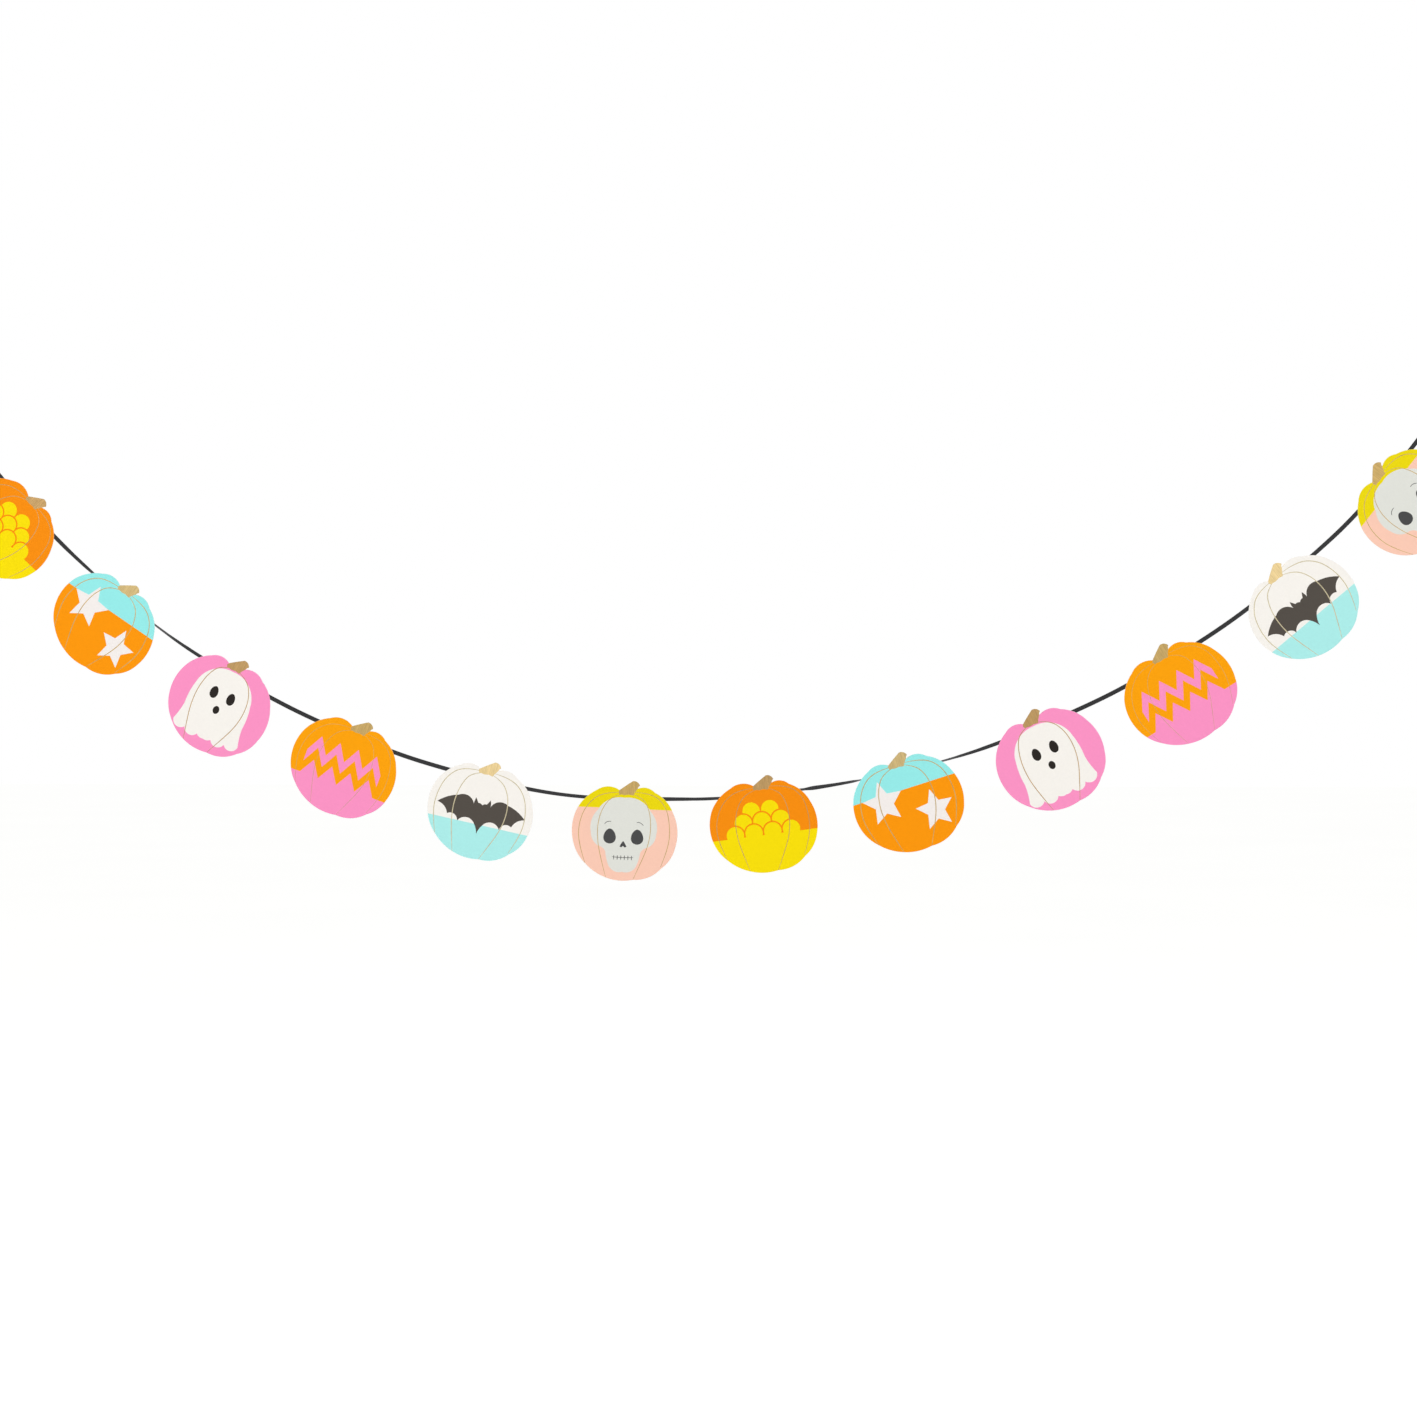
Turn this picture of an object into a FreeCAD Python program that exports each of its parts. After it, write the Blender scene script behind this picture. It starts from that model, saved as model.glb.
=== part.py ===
import FreeCAD, Part
import math
import os

import Sketcher

# A garland of twelve die-cut pumpkin cards, glued side by side to one flat ribbon.
# The frame has +X along the garland, +Z up and the printed faces towards -Y.
# Its origin is the point where a hook bears inside the ribbon's left hanging loop.

Vector = FreeCAD.Vector
doc = FreeCAD.newDocument("PumpkinGarland")

# Driving dimensions, in millimetres
dimensions = [
    ("card_width", 126.0, "pumpkin across its widest lobes"),
    ("card_height", 110.0, "pumpkin from its lowest lobe to its shoulders, without the stem"),
    ("card_thickness", 0.45, "heavy card"),
    ("stem_rise", 11.4, "stem tip above the left foot of the stem"),
    ("stem_lean", 5.5, "top corner of the stem tip, right of the middle"),
    ("stem_tip", 8.4, "slanted end of the stem, measured across"),
    ("stem_drop", 5.0, "fall of the slanted end of the stem"),
    ("ribbon_drop", 10.3, "ribbon below the left foot of the stem"),
    ("ribbon_width", 5.0, "flat woven ribbon"),
    ("ribbon_thickness", 0.3, "flat woven ribbon"),
    ("tab_length", 34.0, "glued paper tab, along the ribbon"),
    ("tab_height", 16.0, "glued paper tab, across the ribbon"),
    ("tab_thickness", 0.2, "glued paper tab"),
    ("tab_clearance", 0.6, "room beside the ribbon, in the channel of its tab"),
    ("loop_width", 18.0, "hanging loop, middle to middle of the ribbon"),
    ("knot_length", 10.0, "tied knot, along the ribbon"),
    ("knot_wrap", 1.7, "turns of the knot beyond each edge of the ribbon"),
    ("knot_swell", 0.3, "knot deeper than the ribbon is wide, front to back"),
    ("knot_corner", 3.4, "round of the knot's corners, seen from the front"),
    ("knot_rounding", 1.8, "round of the knot's front and back rims"),
]
sizes = doc.addObject("Spreadsheet::Sheet", "Sizes")
for row, (alias, value, note) in enumerate(dimensions, start=1):
    sizes.set(f"A{row}", note)
    sizes.set(f"B{row}", str(value))
    sizes.setAlias(f"B{row}", alias)
doc.recompute()

# The ribbon's course, seen from the front: a tail, one straight run behind each card
# with a run between each two cards, and a tail. The hooks are inside the end loops.
left_hook = Vector(0, 0, 0)
right_hook = Vector(1848.5, 0, 25)
course = [
    (22.0, -33.5), (59.5, -88.0),
    (102.5, -142.0), (166.0, -211.0),
    (215.5, -257.5), (288.5, -317.5),
    (345.0, -356.0), (427.5, -403.0),
    (489.0, -433.0), (575.5, -468.0),
    (642.0, -488.5), (732.5, -511.0),
    (806.5, -521.5), (899.5, -522.5),
    (967.0, -522.0), (1060.5, -511.0),
    (1128.0, -500.0), (1220.5, -478.5),
    (1285.5, -457.5), (1374.0, -420.0),
    (1436.0, -389.5), (1515.0, -341.5),
    (1573.0, -301.0), (1645.0, -241.0),
    (1694.0, -194.5), (1754.0, -122.0),
    (1794.0, -66.0), (1828.5, -9.5),
]
route = [Vector(x, 0, z) for x, z in course]
tail_points = 2

# The prints in their order along the ribbon: the same six designs twice.
designs = ["scallops", "stars", "ghost", "zigzag", "bat", "skull"] * 2

# Each card was glued on by hand: how far it slipped along the ribbon and how much lower
# it hangs than the others, in mm, and how far it is turned against the ribbon, in degrees.
slips = [-1.0, -3.5, -1.5, -1.0, 2.5, -0.5, -3.5, -2.5, -0.5, -1.5, 0.0, -1.0]
drops = [0.0, -1.0, -1.5, -0.5, -0.5, 0.5, -0.5, 0.0, 0.5, 0.0, 0.5, 0.0]
skews = [1.0, 2.5, 1.5, -1.0, -1.5, -2.5, -2.0, 2.0, 0.0, -2.0, -2.5, 1.0]

# Each design has its own die: its width and height as shares of the sheet's, and how far
# to the right its stem stands, in mm.
dies = {
    "scallops": (1.000, 0.965, 3.0),
    "stars": (1.018, 0.992, 0.0),
    "ghost": (0.992, 1.026, -2.0),
    "zigzag": (1.026, 1.010, 2.5),
    "bat": (1.004, 1.000, -2.0),
    "skull": (0.988, 1.003, 2.5),
}

# Lobes of the pumpkin, clockwise from the stem's right foot. Each row is the notch that
# the lobe ends at, in halves of the card's width and height, and the lobe's bulge as a
# share of its chord.
stem_right_foot = (0.183, 0.931)
lobes = [
    (0.548, 0.873, 0.160),
    (0.917, 0.455, 0.098),
    (0.990, -0.273, 0.097),
    (0.748, -0.727, 0.092),
    (0.225, -1.000, 0.114),
    (-0.294, -0.982, 0.071),
    (-0.698, -0.705, 0.061),
    (-0.943, -0.264, 0.073),
    (-0.917, 0.409, 0.086),
    (-0.548, 0.860, 0.085),
    (-0.159, 0.884, 0.159),
]
stem_left_foot_height = lobes[-1][1]
stem_side_bulge = 0.01
stem_tip_bulge = 0.18
stem_inside_bulge = -0.10

arc_share = 0.45
quarter_bulge = math.tan(math.radians(22.5)) / 2


def origin_plane(body, role):
    for feature in body.Origin.OriginFeatures:
        if feature.Role == role:
            return feature
    raise ValueError("no such plane: " + role)


def value_of(expression):
    return float(sizes.evalExpression(expression))


def bow(start, end, bulge):
    # The arc from start to end that bulges to the left of its way by a share of its chord.
    chord = end - start
    radius = chord.Length * (1 / (8 * abs(bulge)) + abs(bulge) / 2)
    sagitta = abs(bulge) * chord.Length
    left = Vector(-chord.y, chord.x, 0).normalize() * math.copysign(1, bulge)
    centre = (start + end) / 2 - left * (radius - sagitta)
    first, last = (end, start) if bulge > 0 else (start, end)
    angles = [math.atan2(point.y - centre.y, point.x - centre.x) for point in (first, last)]
    if angles[1] < angles[0]:
        angles[1] += 2 * math.pi
    circle = Part.Circle(centre, Vector(0, 0, 1), radius)
    return Part.ArcOfCircle(circle, angles[0], angles[1])


def closed_outline(sketch, corners, bulges):
    # Draws a closed outline whose corners and radii are tied to the sheet. Corners are
    # pairs of expressions, and each bulge belongs to the edge that leaves its corner.
    points = [Vector(value_of(x), value_of(y), 0) for x, y in corners]
    ends = []
    for index, bulge in enumerate(bulges):
        start = points[index]
        end = points[(index + 1) % len(points)]
        shape = bow(start, end, bulge) if bulge else Part.LineSegment(start, end)
        edge = sketch.addGeometry(shape, False)
        ends.append((edge, 2, 1) if bulge > 0 else (edge, 1, 2))
    for index, (edge, first, last) in enumerate(ends):
        next_edge, next_first, _ = ends[(index + 1) % len(ends)]
        sketch.addConstraint(Sketcher.Constraint("Coincident", edge, last, next_edge, next_first))
        x, y = corners[index]
        places = [("DistanceX", x, points[index].x), ("DistanceY", y, points[index].y)]
        for kind, expression, length in places:
            number = sketch.addConstraint(Sketcher.Constraint(kind, -1, 1, edge, first, length))
            sketch.setExpression(f"Constraints[{number}]", expression)
        bulge = bulges[index]
        if bulge:
            next_x, next_y = corners[(index + 1) % len(corners)]
            reach = 1 / (8 * abs(bulge)) + abs(bulge) / 2
            chord = f"sqrt((({next_x}) - ({x}))^2 + (({next_y}) - ({y}))^2)"
            radius = sketch.Geometry[edge].Radius
            number = sketch.addConstraint(Sketcher.Constraint("Radius", edge, radius))
            sketch.setExpression(f"Constraints[{number}]", f"{chord} * {reach:.6f}")


def padded_body(name, role, outlines, length, midplane):
    body = doc.addObject("PartDesign::Body", name)
    body.Label = name
    sketch = body.newObject("Sketcher::SketchObject", name + "_outline")
    sketch.AttachmentSupport = (origin_plane(body, role), "")
    sketch.MapMode = "FlatFace"
    for corners, bulges in outlines:
        closed_outline(sketch, corners, bulges)
    pad = body.newObject("PartDesign::Pad", name + "_pad")
    pad.Profile = sketch
    pad.setExpression("Length", length)
    pad.Midplane = midplane
    body.Tip = pad
    return body


def half_sizes(design):
    wide, high, _ = dies[design]
    return f"Sizes.card_width / 2 * {wide}", f"Sizes.card_height / 2 * {high}"


def pumpkin_outline(design):
    half_width, half_height = half_sizes(design)
    stem_shift = dies[design][2]
    foot_x, foot_z = stem_right_foot
    corners = [(f"{half_width} * {foot_x} + {stem_shift}", f"{half_height} * {foot_z}")]
    bulges = []
    for x, z, bulge in lobes:
        corners.append((f"{half_width} * {x}", f"{half_height} * {z}"))
        bulges.append(bulge)
    left_foot_x, left_foot_z = corners.pop()
    tip_x = f"Sizes.stem_lean + {stem_shift}"
    tip_z = f"{left_foot_z} + Sizes.stem_rise"
    corners.append((f"{left_foot_x} + {stem_shift}", left_foot_z))
    corners.append((tip_x, tip_z))
    corners.append((f"{tip_x} + Sizes.stem_tip", f"{tip_z} - Sizes.stem_drop"))
    bulges += [stem_side_bulge, stem_tip_bulge, stem_inside_bulge]
    return corners, bulges


def tab_outline():
    # Section across the ribbon: two glued flanges with a channel between them.
    edge = "Sizes.tab_height / 2"
    channel = "(Sizes.ribbon_width / 2 + Sizes.tab_clearance)"
    paper = "Sizes.tab_thickness"
    ribbon = "Sizes.ribbon_thickness"
    half = [
        ("0", f"{edge}"),
        (f"{paper}", f"{edge}"),
        (f"{paper}", f"{channel} + {paper}"),
        (f"{ribbon} + {paper}", f"{channel} + {paper}"),
    ]
    mirrored = [(depth, f"-({across})") for depth, across in reversed(half)]
    inside = [
        ("0", f"-{channel}"),
        (f"{ribbon}", f"-{channel}"),
        (f"{ribbon}", f"{channel}"),
        ("0", f"{channel}"),
    ]
    corners = half + mirrored + inside
    return corners, [0] * len(corners)


def drop_outline(length, offset):
    # One side of the hanging loop's ribbon: two straight legs and a round end.
    # The loop runs along X from the knot, and its inner side touches the hook.
    middle_radius = value_of("Sizes.loop_width / 2")
    inner_radius = middle_radius - value_of("Sizes.ribbon_thickness / 2")
    centre = length - inner_radius
    sine = middle_radius / centre
    cosine = math.sqrt(1 - sine * sine)
    radius = f"(Sizes.loop_width / 2 + {offset} * Sizes.ribbon_thickness / 2)"
    corners = [
        (f"{centre:.6f} - {radius} * {1 / sine:.6f}", "0"),
        (f"{centre:.6f} - {radius} * {sine:.6f}", f"{radius} * {cosine:.6f}"),
        (f"{centre:.6f} - {radius} * {sine:.6f}", f"-{radius} * {cosine:.6f}"),
    ]
    return corners, [0, (1 + sine) / (2 * cosine), 0]


def turned(angle):
    # A turn in the plane of the garland that lifts +X towards +Z by an angle in degrees.
    return FreeCAD.Rotation(Vector(0, 1, 0), -angle)


def slope(start, end):
    return math.degrees(math.atan2(end.z - start.z, end.x - start.x))


def rounded_path(points):
    # Straight runs joined by tangent arcs, each as large as its two runs allow.
    edges = []
    radii = []
    reached = points[0]
    for before, corner, after in zip(points, points[1:], points[2:]):
        run_in = corner - before
        run_out = after - corner
        reach = arc_share * min(run_in.Length, run_out.Length)
        half_turn = run_in.getAngle(run_out) / 2
        radius = reach / math.tan(half_turn)
        run_in.normalize()
        run_out.normalize()
        arc_start = corner - run_in * reach
        arc_end = corner + run_out * reach
        inward = (run_out - run_in).normalize()
        arc_middle = corner + inward * (radius / math.cos(half_turn) - radius)
        edges.append(Part.LineSegment(reached, arc_start).toShape())
        edges.append(Part.Arc(arc_start, arc_middle, arc_end).toShape())
        radii.append(radius)
        reached = arc_end
    edges.append(Part.LineSegment(reached, points[-1]).toShape())
    return Part.Wire(edges), radii


def ribbon_run():
    path, radii = rounded_path(route)
    along = (route[1] - route[0]).normalize()
    across = along.cross(Vector(0, 1, 0)) * value_of("Sizes.ribbon_width / 2")
    deep = Vector(0, 1, 0) * value_of("Sizes.ribbon_thickness / 2")
    corners = [across + deep, across - deep, -across - deep, -across + deep]
    section = Part.makePolygon([route[0] + corner for corner in corners + corners[:1]])
    sweep = Part.BRepOffsetAPI.MakePipeShell(path)
    sweep.setBiNormalMode(Vector(0, 1, 0))
    sweep.add(section)
    sweep.build()
    sweep.makeSolid()
    run = doc.addObject("Part::Feature", "ribbon_run")
    run.Shape = sweep.shape()
    expected = value_of("Sizes.ribbon_width * Sizes.ribbon_thickness") * path.Length
    print("ribbon radii:", ", ".join(f"{radius:.0f}" for radius in radii))
    print(f"ribbon run: {path.Length:.1f} mm, volume {run.Shape.Volume:.2f} for {expected:.2f} mm3")
    return run


def knot_outline():
    # A rectangle with round corners, clockwise from its top left straight side.
    across = "(Sizes.ribbon_width / 2 + Sizes.knot_wrap)"
    along = "Sizes.knot_length / 2"
    corner = "Sizes.knot_corner"
    corners = [
        (f"{corner} - {along}", f"{across}"),
        (f"{along} - {corner}", f"{across}"),
        (f"{along}", f"{across} - {corner}"),
        (f"{along}", f"{corner} - {across}"),
        (f"{along} - {corner}", f"-{across}"),
        (f"{corner} - {along}", f"-{across}"),
        (f"-{along}", f"{corner} - {across}"),
        (f"-{along}", f"{across} - {corner}"),
    ]
    return corners, [0, quarter_bulge] * 4


def knot(name, end, inner):
    # A tight overhand knot, as one plain pillow along the ribbon.
    depth = "Sizes.ribbon_width + Sizes.knot_swell"
    lump = padded_body(name, "XZ_Plane", [knot_outline()], depth, True)
    doc.recompute()
    pad = lump.Tip
    rims = []
    for number, edge in enumerate(pad.Shape.Edges, start=1):
        if edge.BoundBox.YLength < 0.001:
            rims.append(f"Edge{number}")
    rounding = lump.newObject("PartDesign::Fillet", name + "_rounding")
    rounding.Base = (pad, rims)
    rounding.setExpression("Radius", "Sizes.knot_rounding")
    lump.Tip = rounding
    lump.Placement = FreeCAD.Placement(end, turned(slope(end, inner)))
    return lump


def hanging_loop(name, end, hook):
    length = (hook - end).Length
    outlines = [drop_outline(length, 1), drop_outline(length, -1)]
    loop = padded_body(name, "XZ_Plane", outlines, "Sizes.ribbon_width", True)
    loop.Placement = FreeCAD.Placement(end, turned(slope(end, hook)))
    return loop


def make_ribbon():
    pieces = [
        ribbon_run(),
        knot("left_knot", route[0], route[1]),
        hanging_loop("left_loop", route[0], left_hook),
        knot("right_knot", route[-1], route[-2]),
        hanging_loop("right_loop", route[-1], right_hook),
    ]
    doc.recompute()
    ribbon = doc.addObject("Part::MultiFuse", "ribbon")
    ribbon.Label = "ribbon"
    ribbon.Shapes = pieces
    return ribbon


def make_card(number, design, start, end, slip, drop, skew):
    # The card hangs below the ribbon's run and carries it on its back.
    name = f"card_{number:02d}_{design}"
    outline = pumpkin_outline(design)
    card = padded_body(name, "XZ_Plane", [outline], "Sizes.card_thickness", False)
    along = (end - start).normalize()
    seat = (start + end) / 2 + along * slip
    angle = slope(start, end) + skew
    left_foot = value_of(f"{half_sizes(design)[1]} * {stem_left_foot_height}")
    ribbon_height = left_foot - value_of("Sizes.ribbon_drop") + drop
    down = turned(angle).multVec(Vector(0, 0, -ribbon_height))
    back = Vector(0, -value_of("Sizes.ribbon_thickness") / 2, 0)
    card.Placement = FreeCAD.Placement(seat + down + back, turned(angle))
    return card


def make_tab(number, start, end, slip):
    # The tab bridges the ribbon, with its flanges on the card's back.
    tab = padded_body(f"tab_{number:02d}", "YZ_Plane", [tab_outline()], "Sizes.tab_length", True)
    along = (end - start).normalize()
    middle = (start + end) / 2 + along * slip / 2
    back = Vector(0, -value_of("Sizes.ribbon_thickness") / 2, 0)
    tab.Placement = FreeCAD.Placement(middle + back, turned(slope(start, end)))
    return tab


parts = [make_ribbon()]
for index, design in enumerate(designs):
    start = route[tail_points + 2 * index]
    end = route[tail_points + 2 * index + 1]
    place = (slips[index], drops[index], skews[index])
    parts.append(make_card(index + 1, design, start, end, *place))
    parts.append(make_tab(index + 1, start, end, slips[index]))
doc.recompute()

for item in doc.Objects:
    if "Invalid" in item.State or "Error" in item.State:
        raise RuntimeError("failed object: " + item.Label)
for part in parts:
    if part.Shape.isNull() or not part.Shape.isValid() or len(part.Shape.Solids) != 1:
        raise RuntimeError("bad shape: " + part.Label)

os.makedirs("parts", exist_ok=True)
for part in parts:
    part.Shape.exportStep(f"parts/{part.Label}.step")
    print(f"{part.Label}: {part.Shape.Volume:.1f} mm3")
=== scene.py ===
import bpy
import math
import random
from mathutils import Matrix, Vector
from mathutils.geometry import delaunay_2d_cdt


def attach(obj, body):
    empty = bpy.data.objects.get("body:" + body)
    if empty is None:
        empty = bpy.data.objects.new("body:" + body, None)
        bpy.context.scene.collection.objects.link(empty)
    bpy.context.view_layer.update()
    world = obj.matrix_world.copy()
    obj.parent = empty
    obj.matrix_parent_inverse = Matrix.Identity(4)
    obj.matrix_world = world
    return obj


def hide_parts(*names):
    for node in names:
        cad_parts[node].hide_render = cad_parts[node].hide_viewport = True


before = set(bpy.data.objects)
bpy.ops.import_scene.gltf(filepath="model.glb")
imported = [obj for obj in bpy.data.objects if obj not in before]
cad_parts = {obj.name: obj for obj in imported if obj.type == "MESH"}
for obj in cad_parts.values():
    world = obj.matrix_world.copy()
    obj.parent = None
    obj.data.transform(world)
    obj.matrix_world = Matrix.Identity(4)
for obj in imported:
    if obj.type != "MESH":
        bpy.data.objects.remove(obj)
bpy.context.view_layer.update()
scene = bpy.context.scene
mm = 0.001
print("frame:", len(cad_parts), "nodes")

# The camera faces the garland from a little right of its middle.
cameraSettings = {
    "lens": 70,  # mm, on a sensor 36 mm wide
    "sensor": 36,
    "target": Vector((0.950, 0, -0.4165)),
    "distance": 3.213,
    "yaw": math.radians(5.088),
}
yaw = cameraSettings["yaw"]
cameraData = bpy.data.cameras.new("camera")
cameraData.lens = cameraSettings["lens"]
cameraData.sensor_width = cameraSettings["sensor"]
cameraData.sensor_fit = "HORIZONTAL"
camera = bpy.data.objects.new("camera", cameraData)
awayFromTarget = Vector((math.sin(yaw), -math.cos(yaw), 0))
camera.location = cameraSettings["target"] + awayFromTarget * cameraSettings["distance"]
camera.rotation_euler = (math.radians(90), 0, yaw)
scene.collection.objects.link(camera)
scene.camera = camera

# The ribbon's course in metres, as x and z: a tail, the cards' runs with gaps between them, and a tail.
leftHook = (0, 0)
rightHook = (1.8485, 0.0250)
course = [
    (0.0220, -0.0335), (0.0595, -0.0880),
    (0.1025, -0.1420), (0.1660, -0.2110),
    (0.2155, -0.2575), (0.2885, -0.3175),
    (0.3450, -0.3560), (0.4275, -0.4030),
    (0.4890, -0.4330), (0.5755, -0.4680),
    (0.6420, -0.4885), (0.7325, -0.5110),
    (0.8065, -0.5215), (0.8995, -0.5225),
    (0.9670, -0.5220), (1.0605, -0.5110),
    (1.1280, -0.5000), (1.2205, -0.4785),
    (1.2855, -0.4575), (1.3740, -0.4200),
    (1.4360, -0.3895), (1.5150, -0.3415),
    (1.5730, -0.3010), (1.6450, -0.2410),
    (1.6940, -0.1945), (1.7540, -0.1220),
    (1.7940, -0.0660), (1.8285, -0.0095),
]


def runBehind(index):
    # The middle of a card's run of the ribbon, as x and z, and the run's direction.
    start, end = (Vector(course[2 + 2 * index + k]) for k in (0, 1))
    return (start + end) / 2, (end - start).normalized()


designOrder = ["scallops", "stars", "ghost", "zigzag", "bat", "skull"] * 2
slips = [-1.0, -3.5, -1.5, -1.0, 2.5, -0.5, -3.5, -2.5, -0.5, -1.5, 0.0, -1.0]  # mm along the ribbon
drops = [0.0, -1.0, -1.5, -0.5, -0.5, 0.5, -0.5, 0.0, 0.5, 0.0, 0.5, 0.0]  # mm that a card hangs lower
skews = [1.0, 2.5, 1.5, -1.0, -1.5, -2.5, -2.0, 2.0, 0.0, -2.0, -2.5, 1.0]  # degrees against the ribbon
dies = {  # each design's width and height as shares of the plain card's, and its stem's shift right in mm
    "scallops": (1.000, 0.965, 3.0), "stars": (1.018, 0.992, 0.0), "ghost": (0.992, 1.026, -2.0),
    "zigzag": (1.026, 1.010, 2.5), "bat": (1.004, 1.000, -2.0), "skull": (0.988, 1.003, 2.5),
}


def linearColour(hexColour, shade=1.0):
    parts = [int(hexColour[i:i + 2], 16) / 255 for i in (0, 2, 4)]
    parts = [c / 12.92 if c <= 0.04045 else ((c + 0.055) / 1.055) ** 2.4 for c in parts]
    return (*[min(1.0, c * shade) for c in parts], 1)


def addNode(tree, kind, inputs, **settings):
    node = tree.nodes.new(kind)
    for name, value in settings.items():
        setattr(node, name, value)
    for name, value in inputs.items():
        if isinstance(value, bpy.types.NodeSocket):
            tree.links.new(value, node.inputs[name])
        else:
            node.inputs[name].default_value = value
    return node


def startMaterial(name):
    material = bpy.data.materials.new(name)
    material.use_nodes = True
    material.node_tree.nodes.clear()
    return material, material.node_tree


# Real sizes in millimetres behind the patterns. A paper fibre is about 0.03 mm wide,
# too fine for any picture of this size, so fibres are drawn as bundles that just show.
boardGrain = {"fibreLength": 1.6, "fibreWidth": 0.35, "mottle": 2.8, "cloud": 9, "relief": 0.012}
foilGrain = {"streakWidth": 1.3, "streakLength": 16, "streakTurn": 42}  # mm, mm and degrees
sharpAngles = {"ribbon": 50, "card": 25, "tab": 40}  # degrees from which an edge stays sharp


def printedInk(name, hexColour):
    # Offset ink on white card under a matt varnish: flat even colour with a very faint mottle, and no mirror.
    material, tree = startMaterial(name)
    place = addNode(tree, "ShaderNodeUVMap", {}, uv_map="flat").outputs[0]
    scale = (1 / (boardGrain["fibreLength"] * mm), 1 / (boardGrain["fibreWidth"] * mm), 1)
    stretched = addNode(tree, "ShaderNodeMapping", {"Vector": place, "Scale": scale}).outputs[0]
    fibres = addNode(tree, "ShaderNodeTexNoise", {"Vector": stretched, "Scale": 1, "Detail": 3}).outputs[0]
    patches = addNode(tree, "ShaderNodeTexNoise", {
        "Vector": place, "Scale": 1 / (boardGrain["mottle"] * mm),
    }).outputs[0]
    ink = addNode(tree, "ShaderNodeMix", {
        0: patches, 6: linearColour(hexColour, 0.96), 7: linearColour(hexColour, 1.02),
    }, data_type="RGBA").outputs[2]
    dull = addNode(tree, "ShaderNodeMapRange", {
        "Value": fibres, "To Min": 0.5, "To Max": 0.66,
    }).outputs[0]
    relief = addNode(tree, "ShaderNodeBump", {
        "Height": fibres, "Distance": boardGrain["relief"] * mm, "Strength": 0.6,
    }).outputs[0]
    shader = addNode(tree, "ShaderNodeBsdfPrincipled", {
        "Base Color": ink, "Roughness": dull, "Normal": relief,
        "IOR": 1.5, "Specular IOR Level": 0.07,
    })
    addNode(tree, "ShaderNodeOutputMaterial", {"Surface": shader.outputs[0]})
    return material


def goldFoil(name, hexColour):
    # Hot-stamped foil: metal that glints along the stem, dulled a little by the card's fibres under it.
    material, tree = startMaterial(name)
    place = addNode(tree, "ShaderNodeUVMap", {}, uv_map="flat").outputs[0]
    along = addNode(tree, "ShaderNodeMapping", {
        "Vector": place, "Rotation": (0, 0, math.radians(foilGrain["streakTurn"])),
        "Scale": (1 / (foilGrain["streakWidth"] * mm), 1 / (foilGrain["streakLength"] * mm), 1),
    }).outputs[0]
    streaks = addNode(tree, "ShaderNodeTexNoise", {"Vector": along, "Scale": 1, "Detail": 2}).outputs[0]
    fibres = addNode(tree, "ShaderNodeTexNoise", {
        "Vector": place, "Scale": 1 / (boardGrain["fibreWidth"] * mm), "Detail": 2,
    }).outputs[0]
    sharper = addNode(tree, "ShaderNodeMapRange", {
        "Value": streaks, "From Min": 0.35, "From Max": 0.65,
    }).outputs[0]
    metal = addNode(tree, "ShaderNodeMix", {
        0: sharper, 6: linearColour(hexColour, 0.86), 7: linearColour(hexColour, 1.12),
    }, data_type="RGBA").outputs[2]
    brushed = addNode(tree, "ShaderNodeMapRange", {"Value": streaks, "To Min": 0.26, "To Max": 0.42}).outputs[0]
    relief = addNode(tree, "ShaderNodeBump", {
        "Height": fibres, "Distance": boardGrain["relief"] * mm, "Strength": 0.4,
    }).outputs[0]
    shader = addNode(tree, "ShaderNodeBsdfPrincipled", {
        "Base Color": metal, "Roughness": brushed, "Normal": relief, "Metallic": 1.0,
    })
    addNode(tree, "ShaderNodeOutputMaterial", {"Surface": shader.outputs[0]})
    return material


def uncoatedPaper(name, hexColour, relief):
    # Bare pulp: white with a trace of warmth, quite dull, and felted fibres that catch raking light.
    material, tree = startMaterial(name)
    place = addNode(tree, "ShaderNodeUVMap", {}, uv_map="flat").outputs[0]
    scale = (1 / (boardGrain["fibreLength"] * mm), 1 / (boardGrain["fibreWidth"] * mm), 1)
    stretched = addNode(tree, "ShaderNodeMapping", {"Vector": place, "Scale": scale}).outputs[0]
    fibres = addNode(tree, "ShaderNodeTexNoise", {
        "Vector": stretched, "Scale": 1, "Detail": 4, "Distortion": 0.6,
    }).outputs[0]
    cloudy = addNode(tree, "ShaderNodeTexNoise", {
        "Vector": place, "Scale": 1 / (boardGrain["cloud"] * mm),
    }).outputs[0]
    both = addNode(tree, "ShaderNodeMath", {0: fibres, 1: cloudy}, operation="MULTIPLY").outputs[0]
    pulp = addNode(tree, "ShaderNodeMix", {
        0: both, 6: linearColour(hexColour, 0.93), 7: linearColour(hexColour, 1.12),
    }, data_type="RGBA").outputs[2]
    dull = addNode(tree, "ShaderNodeMapRange", {"Value": fibres, "To Min": 0.78, "To Max": 0.95}).outputs[0]
    felt = addNode(tree, "ShaderNodeBump", {
        "Height": fibres, "Distance": relief * mm, "Strength": 0.8,
    }).outputs[0]
    shader = addNode(tree, "ShaderNodeBsdfPrincipled", {
        "Base Color": pulp, "Roughness": dull, "Normal": felt, "IOR": 1.5, "Specular IOR Level": 0.2,
    })
    addNode(tree, "ShaderNodeOutputMaterial", {"Surface": shader.outputs[0]})
    return material


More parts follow.
